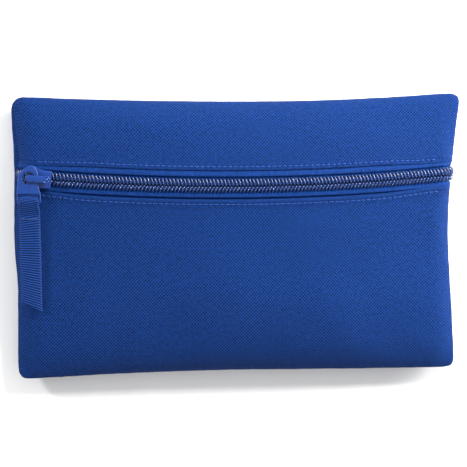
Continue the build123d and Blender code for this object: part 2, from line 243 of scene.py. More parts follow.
def tube(path, radius, sides):
    """Points and faces of a round tube along a path [n, 3]."""
    path = np.asarray(path, float)
    tangent = unit(np.gradient(path, axis=0))
    normal = np.zeros_like(path)
    guide = np.array([0, 0, 1.0]) if abs(tangent[0][2]) < 0.9 else np.array([0, 1.0, 0])
    for i, direction in enumerate(tangent):
        guide = guide - direction * guide.dot(direction)
        guide /= np.linalg.norm(guide)
        normal[i] = guide
    side = np.cross(tangent, normal)
    turns = np.linspace(0, 2 * math.pi, sides, endpoint=False)[None, :, None]
    rings = path[:, None] + radius * (np.cos(turns) * normal[:, None] + np.sin(turns) * side[:, None])
    faces = grid_faces(len(path), sides, close_columns=True)
    faces.append(tuple(range(sides)))
    faces.append(tuple((len(path) - 1) * sides + k for k in reversed(range(sides))))
    return rings.reshape(-1, 3), faces


def joined_tubes(name, paths, radius, sides=TUBE_SIDES):
    """Several tubes as one object. Their cloth coordinate runs along each tube, then round it."""
    points, faces, cloth = [], [], []
    for path in paths:
        p, f = tube(path, radius, sides)
        start = sum(len(q) for q in points)
        faces += [tuple(k + start for k in face) for face in f]
        run = np.repeat(lengths_along(np.asarray(path, float)), sides)
        around = np.tile(np.arange(sides) / sides, len(path))
        cloth.append(np.stack([run, around], axis=-1))
        points.append(p)
    return new_object(name, np.concatenate(points), faces, np.concatenate(cloth))


def face_outwards(obj):
    """Turns all the faces of a closed mesh outwards."""
    made = bmesh.new()
    made.from_mesh(obj.data)
    bmesh.ops.recalc_face_normals(made, faces=made.faces)
    made.to_mesh(obj.data)
    made.free()


# ---- materials

# Noise scales are waves per millimetre of cloth. Tones run from 0, a dark yarn or painted shade in the
# weave's valleys, to 1, a light yarn.
DARK_YARN_AND_VALLEY_SHADE = 0.2
YARN_LIGHT = 2.0
NOISE_MIDDLE = (0.3, 0.7)  # the part of a noise's range where most of it lies
DRIFT_SCALE = 0.35
DRIFT = 0.35
SLUB_SCALE = 1.9
STREAKS = ((1.5, 0.4, 1.0), (0.4, 1.5, 1.0))
STREAK_TONE = 0.17
GRAIN_SCALE = 0.62
GRAIN_TONE = 0.27
TURN_TONE = 0.6
MOTTLE_SCALE = 0.045
MOTTLE_SHARE = 0.16
WEB_YARN = 0.55
THREAD_TWIST = 0.45


def node(tree, kind, inputs=(), **settings):
    """A shader node, with its settings and the sockets or values that go into it."""
    made = tree.nodes.new(kind)
    for key, value in settings.items():
        setattr(made, key, value)
    for key, value in dict(inputs).items():
        if isinstance(value, bpy.types.NodeSocket):
            tree.links.new(value, made.inputs[key])
        else:
            made.inputs[key].default_value = value
    return made


def math_node(tree, operation, *values, clamp=False):
    """The result of an operation on sockets or numbers."""
    inputs = dict(enumerate(values))
    return node(tree, "ShaderNodeMath", inputs, operation=operation, use_clamp=clamp).outputs[0]


def mixed(tree, factor, a, b):
    """A colour between a and b."""
    mix = tree.nodes.new("ShaderNodeMix")
    mix.data_type = "RGBA"
    for index, value in ((0, factor), (6, a), (7, b)):
        if isinstance(value, bpy.types.NodeSocket):
            tree.links.new(value, mix.inputs[index])
        else:
            mix.inputs[index].default_value = value
    return mix.outputs[2]


def speckle(tree, place, scale, detail=2.0):
    """Smooth noise from 0 to 1."""
    return node(tree, "ShaderNodeTexNoise", {"Vector": place, "Scale": scale, "Detail": detail}).outputs[0]


def spread(tree, value, low, high, between=(0.0, 1.0)):
    """A value stretched so that the ends of a range become low and high."""
    inputs = {0: value, 1: between[0], 2: between[1], 3: low, 4: high}
    return node(tree, "ShaderNodeMapRange", inputs).outputs[0]


def wire(tree, shader, **sockets):
    """Links sockets to a shader's inputs."""
    for key, socket in sockets.items():
        tree.links.new(socket, shader.inputs[key.replace("_", " ")])


def relief(tree, shader, height, depth, strength):
    """Bumps a shader by a height from 0 to 1 that stands for a depth in millimetres."""
    inputs = {"Height": height, "Distance": depth * MM, "Strength": strength}
    wire(tree, shader, Normal=node(tree, "ShaderNodeBump", inputs).outputs[0])


def object_place(tree):
    """A place in the object's own metres."""
    return node(tree, "ShaderNodeTexCoord").outputs["Object"]


def shade(colour, factor):
    return tuple(c * factor for c in colour[:3]) + (1.0,)


def material(name, **principled):
    made = bpy.data.materials.new(name)
    made.use_nodes = True
    shader = made.node_tree.nodes["Principled BSDF"]
    for key, value in principled.items():
        shader.inputs[key.replace("_", " ")].default_value = value
    return made, made.node_tree, shader


def flat_cloth(tree):
    """The flat-cloth coordinates in millimetres, as two sockets."""
    place = node(tree, "ShaderNodeAttribute", attribute_name="cloth")
    parts = node(tree, "ShaderNodeSeparateXYZ", {0: place.outputs["Vector"]})
    return place.outputs["Vector"], parts.outputs[0], parts.outputs[1]


def weave(tree, a, b, pitch_a, pitch_b):
    """Height of a basket weave: pairs of yarns, and warp and weft take turns on top."""
    waves, ridges = [], []
    for along, pitch in ((a, pitch_a), (b, pitch_b)):
        waves.append(math_node(tree, "SINE", math_node(tree, "MULTIPLY", along, math.pi / pitch)))
        yarn = math_node(tree, "SINE", math_node(tree, "MULTIPLY", along, 2 * math.pi / pitch))
        ridges.append(math_node(tree, "ABSOLUTE", yarn))
    turn = math_node(tree, "MULTIPLY", *waves)
    over = math_node(tree, "MULTIPLY_ADD", turn, 1.6, 0.5, clamp=True)
    warp = math_node(tree, "MULTIPLY", ridges[0], over)
    weft = math_node(tree, "MULTIPLY", ridges[1], math_node(tree, "SUBTRACT", 1.0, over))
    return math_node(tree, "ADD", warp, weft), over


def fabric(name, colour, pitch, depth):
    """Woven polyester: a weave with painted shade in its valleys, slubs, streaks, faint mottling and a soft
    sheen.
    """
    made, tree, shader = material(
        name, Roughness=0.72, Sheen_Weight=0.05, Sheen_Roughness=0.45, Specular_IOR_Level=0.08
    )
    shader.inputs["Sheen Tint"].default_value = shade(colour, 2.2)
    place, a, b = flat_cloth(tree)
    drift = math_node(tree, "MULTIPLY", speckle(tree, place, DRIFT_SCALE), DRIFT)
    height, over = weave(tree, math_node(tree, "ADD", a, drift), math_node(tree, "ADD", b, drift), *pitch)
    slub = speckle(tree, place, SLUB_SCALE, detail=3.0)
    # The weave's height darkens the valleys between the yarns: painted shade
    tone = math_node(tree, "MULTIPLY_ADD", height, 0.75, math_node(tree, "MULTIPLY", slub, 0.4))
    for stretch in STREAKS:
        drawn = node(tree, "ShaderNodeMapping", {"Vector": place, "Scale": stretch}).outputs[0]
        streak = spread(tree, speckle(tree, drawn, 1.0), -STREAK_TONE, STREAK_TONE, NOISE_MIDDLE)
        tone = math_node(tree, "ADD", tone, streak)
    grain = spread(tree, speckle(tree, place, GRAIN_SCALE), -GRAIN_TONE, GRAIN_TONE, NOISE_MIDDLE)
    tone = math_node(tree, "ADD", tone, grain)
    tone = math_node(tree, "ADD", tone, spread(tree, over, -TURN_TONE, TURN_TONE), clamp=True)
    threads = mixed(tree, tone, shade(colour, DARK_YARN_AND_VALLEY_SHADE), shade(colour, YARN_LIGHT))
    cast = spread(tree, speckle(tree, place, MOTTLE_SCALE, detail=4.0), 0.0, 1.0, NOISE_MIDDLE)
    threads = mixed(tree, math_node(tree, "MULTIPLY", cast, MOTTLE_SHARE), threads, shade(colour, 1.5))
    wire(tree, shader, Base_Color=threads)
    relief(tree, shader, math_node(tree, "MULTIPLY_ADD", slub, 0.35, height), depth, 0.9)
    return made


def rib_cloth(name, colour):
    """Webbing: painted shade in the groove between the ribs, and yarns that cross each rib."""
    made, tree, shader = material(name, Roughness=0.6, Specular_IOR_Level=0.15)
    place, a, b = flat_cloth(tree)
    rib = math_node(tree, "COSINE", math_node(tree, "MULTIPLY", b, 2 * math.pi / RIB))
    crossing = math_node(tree, "SINE", math_node(tree, "MULTIPLY", a, math.pi / WEB_YARN))
    yarn = math_node(tree, "MULTIPLY", math_node(tree, "ABSOLUTE", crossing), 0.22)
    height = math_node(tree, "ADD", math_node(tree, "MULTIPLY_ADD", rib, 0.36, 0.4), yarn)
    # The ribs' height paints the grooves dark and the crests light: painted shade
    tone = math_node(tree, "MULTIPLY_ADD", speckle(tree, place, 1.6), 0.5, height)
    tone = math_node(tree, "SUBTRACT", tone, 0.25, clamp=True)
    wire(tree, shader, Base_Color=mixed(tree, tone, shade(colour, 0.12), shade(colour, 1.9)))
    relief(tree, shader, height, 0.25, 0.9)
    return made


def nylon(name, colour):
    """Extruded filament: satin, with a faint cloudiness."""
    made, tree, shader = material(
        name, Roughness=0.3, Specular_IOR_Level=0.55, Coat_Weight=0.6, Coat_Roughness=0.12
    )
    cloud = speckle(tree, object_place(tree), 900.0)
    tint = mixed(tree, cloud, shade(colour, 0.75), shade(colour, 1.3))
    wire(tree, shader, Base_Color=tint, Roughness=spread(tree, cloud, 0.24, 0.42))
    relief(tree, shader, cloud, 0.03, 0.5)
    return made


def twisted(name, colour):
    """Sewing thread: plies that wind round it, with painted shade in the grooves between them."""
    made, tree, shader = material(name, Roughness=0.45, Specular_IOR_Level=0.35)
    _, run, around = flat_cloth(tree)
    turns = math_node(tree, "MULTIPLY", around, 4 * math.pi)
    phase = math_node(tree, "MULTIPLY_ADD", run, 2 * math.pi / THREAD_TWIST, turns)
    ply = math_node(tree, "ABSOLUTE", math_node(tree, "SINE", phase))
    # The grooves between the plies are painted darker: painted shade
    wire(tree, shader, Base_Color=mixed(tree, ply, shade(colour, 0.6), shade(colour, 1.35)))
    relief(tree, shader, ply, 0.06, 0.8)
    return made


def paint(name, colour):
    """Sprayed enamel over die-cast metal: glossy, a little uneven, and lighter along edges, partly from
    wear and partly as a painted highlight.
    """
    made, tree, shader = material(
        name, Roughness=0.42, Specular_IOR_Level=0.3, Coat_Weight=0.2, Coat_Roughness=0.15
    )
    place = object_place(tree)
    cloud = speckle(tree, place, 260.0, detail=4.0)
    edge = node(tree, "ShaderNodeNewGeometry").outputs["Pointiness"]
    # Edges are painted lighter: partly wear of the enamel, partly a painted highlight on the rims
    wear_and_highlight_edge = spread(tree, edge, 0.0, 0.55, between=(0.52, 0.62))
    tint = mixed(tree, cloud, shade(colour, 0.85), shade(colour, 1.15))
    tint = mixed(tree, wear_and_highlight_edge, tint, shade(colour, 2.4))
    wire(tree, shader, Base_Color=tint, Roughness=spread(tree, cloud, 0.22, 0.38))
    relief(tree, shader, speckle(tree, place, 1400.0), 0.04, 0.35)
    return made


def steel(name):
    """Bright spring strip with fine rolling lines."""
    made, tree, shader = material(name, Metallic=1.0, Roughness=0.3)
    stretch = {"Vector": object_place(tree), "Scale": (200.0, 6000.0, 6000.0)}
    drawn = node(tree, "ShaderNodeMapping", stretch).outputs[0]
    lines = speckle(tree, drawn, 1.0, detail=3.0)
    tint = mixed(tree, lines, (0.42, 0.42, 0.43, 1), (0.68, 0.68, 0.7, 1))
    wire(tree, shader, Base_Color=tint, Roughness=spread(tree, lines, 0.22, 0.45))
    return made


BLUE = (0.0024, 0.0205, 0.105)
CLOTH_BLUE = fabric("pouch_cloth", BLUE, pitch=(0.8, 0.83), depth=0.25)
TAPE_BLUE = fabric("tape_cloth", shade(BLUE, 1.2), pitch=(0.5, 0.36), depth=0.12)
WEB_BLUE = rib_cloth("webbing_cloth", shade(BLUE, 1.2))
BINDING_BLUE = fabric("binding_cloth", shade(BLUE, 0.75), pitch=(0.5, 0.5), depth=0.1)
COIL_BLUE = nylon("coil_nylon", shade(BLUE, 1.15))
THREAD_BLUE = twisted("sewing_thread", shade(BLUE, 2.4))
COIL_THREAD = twisted("coil_thread", shade(BLUE, 1.5))
PAINT_BLUE = paint("slider_paint", (0.004, 0.034, 0.19, 1))
STEEL = steel("spring_steel")


def finish_piece(obj, look, slot, replaced, body=None):
    """Gives a piece its look, hides the CAD node that it stands for and attaches it to the one body that it
    rides, if one is given. The slot is not used.
    """
    obj.data.materials.clear()
    obj.data.materials.append(look)
    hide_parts(replaced)
    if body:
        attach(obj, body)
    return obj


# ---- pouch surface


# The seams' outline. Side seams curve with the height, and end seams with the way across.
HALF_HEIGHT = 69.0
LEFT_SEAM = 108.8
LEFT_FLARE = 1.6
LEFT_TUCK = 1.7
LEFT_PINCH = 2.4
PINCH_Y = 36.0
RIGHT_SEAM = 110.0
RIGHT_FLARE = (6.6, 4.4)  # above and below the middle
TOP_SEAM = 67.2
TOP_FLARE = (2.7, 4.8)  # to the left and right
BOTTOM_SEAM = 67.7
BOTTOM_FLARE = (3.6, 1.1)
CORNERS = {(-1, 1): 6.5, (1, 1): 7.5, (-1, -1): 5.0, (1, -1): 5.5}  # radius by side and end
ZIP_END_Y = 30.0  # where the zip runs into the side seams


def arch(x):
    """Height of the front along the zip."""
    return FRONT_Z - ZIP_BULGE * (np.asarray(x, float) / HALF_TRAVEL) ** 2


def chain_y(x):
    """How far up the pouch the chain's middle lies."""
    return ZIP_Y + ZIP_SAG * (np.asarray(x, float) / HALF_TRAVEL) ** 2


def left_edge(y):
    """The left seam, drawn in beside the zip."""
    t = np.asarray(y, float) / HALF_HEIGHT
    lower = -LEFT_TUCK * smooth(-t, 0, 0.4) + 0.2 * t**2
    return -(LEFT_SEAM + np.where(t > 0, LEFT_FLARE * t**2, lower)) + LEFT_PINCH * bump(y, PINCH_Y, 20)


def right_edge(y):
    t = np.asarray(y, float) / HALF_HEIGHT
    return RIGHT_SEAM + np.where(t > 0, RIGHT_FLARE[0] * t**2, RIGHT_FLARE[1] * np.abs(t) ** 1.2)


def top_edge(t):
    """The top seam, for t from -1 at the left corner to 1 at the right."""
    t = np.asarray(t, float)
    return TOP_SEAM + np.where(t < 0, TOP_FLARE[0] * t**2, TOP_FLARE[1] * t**2)


def bottom_edge(t):
    t = np.asarray(t, float)
    return -BOTTOM_SEAM - np.where(t < 0, BOTTOM_FLARE[0] * t**2, BOTTOM_FLARE[1] * t)


def quarter(distance, roll):
    """A quarter round: 0 at an edge, rising steeply to 1 at roll."""
    return np.sqrt(np.clip(1 - (1 - np.clip(distance / roll, 0, 1)) ** 2, 0, 1))


def eased(n, ends=(True, True), part=0.8):
    """n values from -1 to 1, closer together towards the chosen ends."""
    u = np.linspace(-1, 1, n)
    k = 1 / (1 - part**2)
    rim = np.sign(u) * (1 - k * (1 - np.abs(u)) ** 2)
    value = np.where(np.abs(u) <= part, u * 2 / (1 + part), rim)
    if not ends[0]:
        value = np.where(u < 0, u, value)
    if not ends[1]:
        value = np.where(u > 0, u, value)
    return value


ZIP_LEFT = float(left_edge(ZIP_END_Y))
ZIP_RIGHT = float(right_edge(ZIP_END_Y))
ZIP_MIDDLE = (ZIP_LEFT + ZIP_RIGHT) / 2
ZIP_HALF_SPAN = (ZIP_RIGHT - ZIP_LEFT) / 2


def from_edges(x, y, t):
    """How far points lie in from the nearer side seam and from the nearer end seam."""
    return np.minimum(x - left_edge(y), right_edge(y) - x), np.minimum(top_edge(t) - y, y - bottom_edge(t))


def round_corners(x, y):
    """Moves points near the four corners inwards, so that the corners are rounded."""
    for (sx, sy), radius in CORNERS.items():
        tip_y = float(top_edge(sx) if sy > 0 else bottom_edge(sx))
        tip_x = float(left_edge(tip_y) if sx < 0 else right_edge(tip_y))
        a = np.clip((sx * (x - tip_x) + radius) / radius, 0, 1.2)
        b = np.clip((sy * (y - tip_y) + radius) / radius, 0, 1.2)
        near = (a > 0) & (b > 0)
        new_x = tip_x + sx * (a * np.sqrt(1 - np.minimum(b, 1) ** 2 / 2) - 1) * radius
        new_y = tip_y + sy * (b * np.sqrt(1 - np.minimum(a, 1) ** 2 / 2) - 1) * radius
        x, y = np.where(near, new_x, x), np.where(near, new_y, y)
    return x, y


def pucker(x, y, nearness):
    """Small gathers along the seams, where the thread draws the cloth in."""
    draw = perlin(x, y, 5.5, 3.1) + 0.5 * perlin(x, y, 2.6, 8.4)
    return 0.42 * draw * nearness


def front_height(x, y, t):
    """Height of the front's cloth over a point; t is how far across the pouch it is, from -1 to 1."""
    from_side, from_end = from_edges(x, y, t)
    roll = SIDE_ROLL - (SIDE_ROLL - ZIP_ROLL) * bump(y, chain_y(x), 15)
    rise = quarter(from_side, roll) * quarter(top_edge(t) - y, TOP_ROLL)
    rise *= quarter(y - bottom_edge(t), BOTTOM_ROLL)
    z = SEAM_Z + (arch(np.clip(x, -HALF_WIDTH, HALF_WIDTH)) - SEAM_Z) * rise
    edge = np.minimum(from_side, from_end)
    away = smooth(np.abs(y - chain_y(x)), 12, 30) * smooth(edge, 2, 14)
    swell = 1.1 * perlin(x, y, 42.0, 1.7) + 0.35 * perlin(x, y, 17.0, 5.2)
    return z + swell * away + pucker(x, y, bump(edge, 2.0, 2.6))


def seam_crease(x, y, t, z):
    """Draws the cloth in beside the seam, so that the two panels meet in a crease."""
    depth = SEAM_CREASE * bump(z, SEAM_Z, 1.1)
    from_side, from_end = from_edges(x, y, t)
    side = depth * bump(from_side, 0, 1.6)
    end = depth * bump(from_end, 0, 1.6)
    return x - np.sign(x) * side, y - np.sign(y) * end


def front_point(x, y, t):
    z = front_height(x, y, t)
    x, y = seam_crease(x, y, t, z)
    x, y = round_corners(x, y)
    return np.stack([x, y, z], axis=-1)


def offset_grid(points, amount):
    """Moves a grid of points along its normals, which point out of the front, by an amount each."""
    du = np.gradient(points, axis=1)
    dv = np.gradient(points, axis=0)
    normal = np.cross(du, dv)
    normal /= np.maximum(np.linalg.norm(normal, axis=-1), 1e-9)[..., None]
    return points + normal * amount[..., None]


def hem_closing(x):
    """How much nearer the chain the folds come towards the ends."""
    return HEM_CLOSING * smooth(np.abs(x), 70, 102)


def hem_offset(inside, stitch, x, y):
    """How proud a hem stands, by distance from its fold: a rolled edge, a pad and the stitches' dip."""
    roll = -HEM_LIP * (1 - quarter(inside, HEM_ROLL))
    pad = HEM_PAD * smooth(inside, 0, 0.9) * (1 - smooth(inside, stitch * 0.75, stitch * 1.9))
    pull = 0.75 + 0.25 * np.cos(x * 2 * math.pi / SEWN_EVERY)
    dip = -STITCH_DIP * bump(inside, stitch, 0.55) * pull
    gather = 0.14 * perlin(x, y * 0.35, 3.4, 6.6) * bump(inside, stitch, 3.2)
    return roll + pad + dip + gather


def panel(names, sign, columns, rows):
    """A front panel from its fold by the zip to the outer seam, as one piece or as two halves."""
    across = eased(2 * columns + 1)
    near_fold = np.linspace(0, HEM_WIDTH, 20)
    far = (eased(rows, ends=(False, True)) + 1) / 2
    grid = []
    for t in across:
        x_fold = ZIP_MIDDLE + t * ZIP_HALF_SPAN
        y_fold = chain_y(x_fold) + sign * (FOLD[sign] - hem_closing(x_fold))
        y_end = top_edge(t) if sign > 0 else bottom_edge(t)
        reach = abs(y_end - y_fold)
        inside = np.concatenate([near_fold, near_fold[-1] + (reach - near_fold[-1]) * far[1:]])
        y = y_fold + sign * inside
        x = left_edge(y) + (t + 1) / 2 * (right_edge(y) - left_edge(y))
        grid.append(np.stack([x, y, np.full_like(x, t), inside], axis=-1))
    grid = np.array(grid).transpose(1, 0, 2)
    if sign < 0:
        grid = grid[::-1]
    x, y, t, inside = (grid[..., k] for k in range(4))
    points = front_point(x, y, t)
    hem = hem_offset(inside, STITCH[sign] - FOLD[sign], x, y) * smooth(1 - np.abs(t), 0, 0.03)
    points = offset_grid(points, hem)
    if len(names) == 1:
        return [grid_object(names[0], points)]
    halves = (points[:, : columns + 1], points[:, columns:])
    seam = lengths_along(points[:, : columns + 1])[:, -1:]
    origins = (-seam, 0 * seam)
    return [grid_object(name, half, origin) for name, half, origin in zip(names, halves, origins)]


def make_back(columns, rows):
    """The back panel: flat where it lies, and rolled up to the seam all round."""
    t, v = np.meshgrid(eased(columns, part=0.75), (eased(rows, part=0.7) + 1) / 2)
    y = bottom_edge(t) + v * (top_edge(t) - bottom_edge(t))
    x = left_edge(y) + (t + 1) / 2 * (right_edge(y) - left_edge(y))
    from_side, from_end = from_edges(x, y, t)
    drop = quarter(from_side, BACK_ROLL) * quarter(from_end, BACK_ROLL)
    edge = np.minimum(from_side, from_end)
    z = SEAM_Z * (1 - drop) + pucker(x, y, bump(edge, 2.0, 2.6))
    z = np.maximum(z, BACK_CLEAR)
    swell = np.sin(math.pi * np.clip(1 - z / SEAM_Z, 0, 1)) * smooth(BACK_ROLL - from_side, 0, 8)
    x, y = seam_crease(x, y, t, z)
    left_swell = 1.0 + LEFT_PINCH * bump(y, PINCH_Y, 22)
    x = x - left_swell * swell * (x < 0) + 0.8 * swell * (x > 0)
    x, y = round_corners(x, y)
    points = np.stack([x, y, z], axis=-1)[:, ::-1]
    return grid_object("back_panel_cloth", points)


def edge_line(side, inset, count=120):
    """A line beside one of the pouch's edges, some way in from it, between two corners."""
    u = np.linspace(-1, 1, count)
    if side in ("left", "right"):
        low, high = float(bottom_edge(0)) + CORNER_GAP, float(top_edge(0)) - CORNER_GAP
        y = (low + high) / 2 + u * (high - low) / 2
        return (left_edge(y) + inset if side == "left" else right_edge(y) - inset), y
    t = u * (1 - CORNER_GAP / HALF_WIDTH)
    y = bottom_edge(t) + inset if side == "bottom" else top_edge(t) - inset
    return left_edge(y) + (t + 1) / 2 * (right_edge(y) - left_edge(y)), y


def make_binding(side):
    """Tape folded over the raw edges inside a seam."""
    flat = np.linspace(BINDING_START, BINDING_FOLD, 10)
    turn = np.linspace(math.pi / 2, -math.pi / 2, 9)
    section = [(inset, BINDING_HALF) for inset in flat[:-1]]
    section += [(BINDING_FOLD + BINDING_HALF * math.cos(a), BINDING_HALF * math.sin(a)) for a in turn]
    section += [(inset, -BINDING_HALF) for inset in flat[::-1][1:]]
    rows = []
    for inset, lift in section:
        x, y = edge_line(side, inset)
        rows.append(np.stack([x, y, SEAM_Z + lift + 0.25 * perlin(x, y, 11.0, 4.4)], axis=-1))
    return thicken(grid_object(f"seam_binding_{side}_tape", np.array(rows)), BINDING_THICK)


def make_seam_thread(side):
    """A seam's lockstitch: a needle thread and a bobbin thread, on either side of the cloths."""
    x, y = edge_line(side, THREAD_INSET, 600)
    run = lengths_along(np.stack([x, y], axis=-1))
    wave = np.cos(run * 2 * math.pi / SEWN_EVERY)
    paths = [np.stack([x, y, SEAM_Z + s * (0.35 + 0.3 * wave)], axis=-1) for s in (1, -1)]
    return joined_tubes(f"seam_thread_{side}_stitch", paths, SEAM_THREAD_RADIUS, THREAD_SIDES)


# ---- zip


def chain_path(step=0.05):
    """The chain's middle line from side seam to side seam, evenly spaced, with its frame at each point."""
    low, high = ZIP_LEFT + 0.05, ZIP_RIGHT - 0.05
    x = (low + high) / 2 + (high - low) / 2 * eased(3001, part=0.85)
    y = chain_y(x)
    from_side = np.minimum(x - low, high - x)
    z = SEAM_Z + (arch(x) - SEAM_Z) * quarter(from_side, ZIP_ROLL)
    line = np.stack([x, y, z], axis=-1)
    run = lengths_along(line)
    run -= np.interp(0.0, x, run)
    even = np.arange(math.ceil(run[0] / step) * step, run[-1], step)
    line = np.stack([np.interp(even, run, line[:, k]) for k in range(3)], axis=-1)
    tangent = unit(np.gradient(line, axis=0))
    up = unit(np.cross(tangent, np.array([0, 1.0, 0])))
    return even, line, np.cross(up, tangent), up


CHAIN_RUN, CHAIN_LINE, CHAIN_ACROSS, CHAIN_UP = chain_path()
CHAIN_START, CHAIN_END = CHAIN_RUN[0], CHAIN_RUN[-1]


def at_chain(run, across, up):
    """Points beside the chain: a distance along it, across it and out of it."""
    run, across, up = np.broadcast_arrays(*(np.asarray(v, float) for v in (run, across, up)))

    def along(values):
        return np.stack([np.interp(run, CHAIN_RUN, values[:, k]) for k in range(3)], axis=-1)

    return along(CHAIN_LINE) + across[..., None] * along(CHAIN_ACROSS) + up[..., None] * along(CHAIN_UP)


# The stretches that the upper pieces are made in, one each side of the middle
SPANS = {"left": (CHAIN_START, 0.0), "right": (0.0, CHAIN_END)}


def make_tape(name, sign, start, end):
    """Tape from under the hem to the coil, a little lower where the coil's thread draws it down."""
    run = np.linspace(start, end, max(2, int((end - start) / 0.9)))
    across = np.concatenate([np.linspace(TAPE_INNER, 8.8, 34), np.linspace(9.5, TAPE_EDGE, 5)])
    if sign < 0:
        across = -across[::-1]
    r, a = np.meshgrid(run, across)
    ripple = 0.06 * perlin(r, a, 3.5, 2.2)
    shape = sum(height * smooth(sign * a, low, high) for height, low, high in TAPE_STEPS[sign])
    points = at_chain(r, a, -TAPE_DEPTH + ripple + shape)
    return thicken(grid_object(name, points), TAPE_THICK)


def make_coil(name, sign, start, end):
    """A row of coil: a flattened helix whose inner bends are the teeth. The rows are half a pitch apart."""
    shift = 0.0 if sign > 0 else PITCH / 2
    first = math.ceil((start + COIL_LEAN - shift) / PITCH) * PITCH + shift
    count = int((end - COIL_LEAN - first) / PITCH + 1e-6) if end > 1 else round(-first / PITCH)
    if start > -1:
        first, count = 0.0, int((end - COIL_LEAN) / PITCH)
    phase = np.arange(count * TURN_STEPS + 1) * 2 * math.pi / TURN_STEPS
    middle, reach, rise = COIL_ROWS[sign]
    swing, lift = np.cos(phase), np.sin(phase)
    across = middle + sign * reach * np.sign(swing) * np.abs(swing) ** 0.75
    up = rise + COIL_HALF_HEIGHT * np.sign(lift) * np.abs(lift) ** 0.8
    run = first + PITCH * phase / (2 * math.pi) + COIL_LEAN * (1 - swing) / 2
    return joined_tubes(name, [at_chain(run, across, up)], FILAMENT)


def make_filler(name, sign, start, end):
    middle, _, rise = COIL_ROWS[sign]
    run = np.linspace(start + 0.5, end - 0.5, max(2, int((end - start) / 2)))
    return joined_tubes(name, [at_chain(run, middle, rise)], FILLER_RADIUS)


def make_coil_stitching(name, sign, start, end):
    """Needle threads over a row of coil, dipping between its turns."""
    shift = 0.0 if sign > 0 else PITCH / 2
    middle, reach, rise = COIL_ROWS[sign]
    run = np.arange(start, end, PITCH / 10)
    paths = []
    for place in COIL_STITCHES[sign]:
        across = middle + sign * reach * (1 - 2 * place)
        lean = place * (PITCH / 2 + COIL_LEAN)
        wave = np.cos((run - shift - lean) * 2 * math.pi / PITCH)
        up = rise + COIL_HALF_HEIGHT + 0.16 + 0.28 * wave
        paths.append(at_chain(run, across, up))
    return joined_tubes(name, paths, COIL_THREAD_RADIUS, THREAD_SIDES)


def stitch_path(place, start, length):
    """One lockstitch that rises out of the cloth, lies along it and goes back in."""
    t = np.linspace(0, 1, 9)
    lift = 0.5 * np.sin(math.pi * t) ** 0.6 - 0.12
    return place(start + length * (0.17 + 0.66 * t), lift)


def make_topstitching(name, sign, start, end):
    start, end = max(start, CHAIN_START + STITCH_INSET), min(end, CHAIN_END - STITCH_INSET)

    def place(run, lift):
        x = at_chain(run, 0, 0)[..., 0]
        y = chain_y(x) + sign * (STITCH[sign] - hem_closing(x))
        z = front_height(x, y, (x - ZIP_MIDDLE) / ZIP_HALF_SPAN)
        return np.stack([x, y, z + lift], axis=-1)

    count = int((end - start - STITCH_MARGIN) / SEWN_EVERY)
    first = end - count * SEWN_EVERY if start < -1 and end < 1 else start
    paths = [stitch_path(place, first + k * SEWN_EVERY, SEWN_EVERY) for k in range(count)]
    return joined_tubes(name, paths, TOPSTITCH_RADIUS)


# ---- slider and puller


def turned(point, angle):
    """A point turned about the zip's arc."""
    r = np.asarray(point, float) - ARC_CENTRE
    along = np.dot(r, ARC_AXIS)[..., None] * ARC_AXIS
    cos, sin = math.cos(angle), math.sin(angle)
    return ARC_CENTRE + r * cos + np.cross(ARC_AXIS, r) * sin + along * (1 - cos)


def frame_matrix(origin, axes):
    matrix = Matrix([Vector(axis) for axis in axes]).transposed().to_4x4()
    matrix.translation = Vector(origin)
    return matrix


# From the slider's own frame, in millimetres, to where it rests at the closed end
RUN_MIDDLE = np.array([0, ZIP_Y, FRONT_Z])
SLIDER_ORIGIN = turned(RUN_MIDDLE, -HALF_ANGLE)
SLIDER_AXES = [turned(RUN_MIDDLE + d, -HALF_ANGLE) - SLIDER_ORIGIN for d in np.eye(3)]
SLIDER_SHIFT = SLIDER_AXES[0] * SLIDER_BACK
SLIDER_MATRIX = frame_matrix(SLIDER_ORIGIN + SLIDER_SHIFT, SLIDER_AXES)

# From the pull tab's own frame: origin in its eye, y up the tab and z out of it
PULL_EYE, PULL_BAR = (np.array(JOINTS[name]["pos_m"]) / MM for name in ("pull_swivel", "puller_lift"))
PULL_SIDE = -np.array(JOINTS["puller_lift"]["axis"])
PULL_UP = (PULL_EYE - PULL_BAR) / np.linalg.norm(PULL_EYE - PULL_BAR)
PULL_MATRIX = frame_matrix(PULL_EYE + SLIDER_SHIFT, [PULL_SIDE, PULL_UP, np.cross(PULL_SIDE, PULL_UP)])


def place_mesh(obj, matrix):
    """Moves a mesh made in its own millimetre frame into the row's frame."""
    in_metres = Matrix.Diagonal((MM, MM, MM, 1)) @ matrix @ Matrix.Diagonal((1 / MM, 1 / MM, 1 / MM, 1))
    obj.data.transform(in_metres)
    obj.data.update()
    return obj


